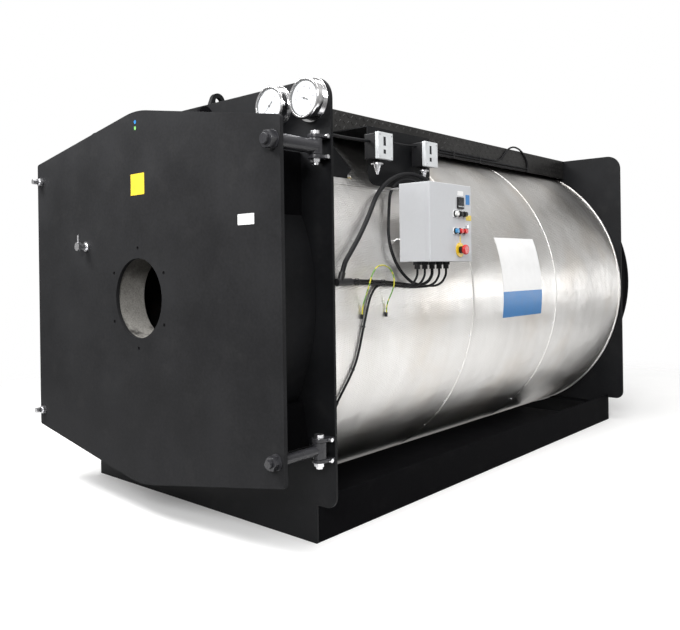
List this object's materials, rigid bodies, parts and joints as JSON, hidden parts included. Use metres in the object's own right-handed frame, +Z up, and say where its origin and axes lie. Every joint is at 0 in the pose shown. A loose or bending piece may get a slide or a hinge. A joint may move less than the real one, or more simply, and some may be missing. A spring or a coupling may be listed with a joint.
{
  "type": "industrial boiler",
  "caption": "Horizontal fire-tube boiler on a floor base, with a hinged burner door, clad shell, top walkway, dial instruments and a control enclosure.",
  "frame": {"origin": "on the ground at the centre of the front plate's foot, in the plate's middle plane", "axes": "+X towards the side with the control enclosure, +Y from the burner door to the rear along the shell, +Z up"},
  "size_m": [1.788, 3.3365, 1.746],
  "materials": {
    "bare_steel": "mill scale",
    "black_frame": "satin paint",
    "black_plate": "satin powder coat, fine texture",
    "cable_black": "satin sheath",
    "cladding": "stucco embossed, mill finish",
    "control_plastic": "satin moulding",
    "earth_wire": "green and yellow sheath",
    "enclosure_grey": "light grey texture paint",
    "gauge_steel": "polished",
    "mineral_wool": "matt fibre",
    "refractory": "cast fire clay",
    "seal_rope": "woven glass rope",
    "stop_red": "gloss",
    "switch_case": "black with pale cover",
    "tread_plate": "black paint on raised tread pattern",
    "zinc": "zinc plated"
  },
  "bodies": {
    "boiler_body": {"base_beam_left": "black_frame", "base_beam_right": "black_frame", "base_bearers": "black_frame", "base_deck": "black_frame", "cable_clips": "cable_black", "cable_glands": "cable_black", "cladding_front": "cladding", "cladding_middle": "cladding", "cladding_rear": "cladding", "cleaning_cover": "black_frame", "closing_anchors": "black_frame", "conduits": "cable_black", "earth_stud": "zinc", "earth_wire": "earth_wire", "enclosure_brackets": "zinc", "enclosure_shell": "enclosure_grey", "fire_tubes": "bare_steel", "flow_nozzle": "black_frame", "flue_collar": "black_frame", "front_plate": "black_plate", "front_tube_plate": "bare_steel", "furnace_end": "bare_steel", "furnace_tube": "bare_steel", "gauge_left": "gauge_steel", "gauge_right": "gauge_steel", "gusset_flashings": "cladding", "gussets": "black_plate", "hinge_ears": "black_frame", "hinge_pins": "zinc", "insulation": "mineral_wool", "lifting_lugs": "black_plate", "main_cables": "cable_black", "pressure_shell": "bare_steel", "pressure_switch_front": "switch_case", "pressure_switch_rear": "switch_case", "rear_cover": "black_plate", "rear_plate": "black_plate", "rear_smoke_box": "black_frame", "rear_tube_plate": "bare_steel", "return_nozzle": "black_frame", "switch_panel": "black_plate", "walkway_cover": "tread_plate"},
    "burner_door": {"door_plate": "black_plate", "door_drum": "black_frame", "door_refractory": "refractory", "door_seal": "seal_rope", "door_boxes_upper": "black_frame", "door_boxes_lower": "black_frame", "door_lifting_eyes": "black_plate", "hinge_bar_upper": "black_frame", "hinge_bar_lower": "black_frame", "hinge_nuts": "zinc", "closing_bolts": "zinc", "sight_port": "zinc"},
    "cabinet_door": {"enclosure_door": "enclosure_grey", "display_unit": "control_plastic", "control_row_upper": "control_plastic", "control_row_lower": "control_plastic", "emergency_stop": "stop_red", "door_lock": "zinc"}
  },
  "joints": [
    {"name": "burner_door_hinge", "type": "hinge", "parent": "boiler_body", "child": "burner_door", "pos_m": [0.778, -0.051, 0.869], "axis": [0, 0, 1], "range_deg": [0, 100]},
    {"name": "cabinet_door_hinge", "type": "hinge", "parent": "boiler_body", "child": "cabinet_door", "pos_m": [0.94, 0.4, 1.149], "axis": [0, 0, -1], "range_deg": [0, 110]}
  ]
}
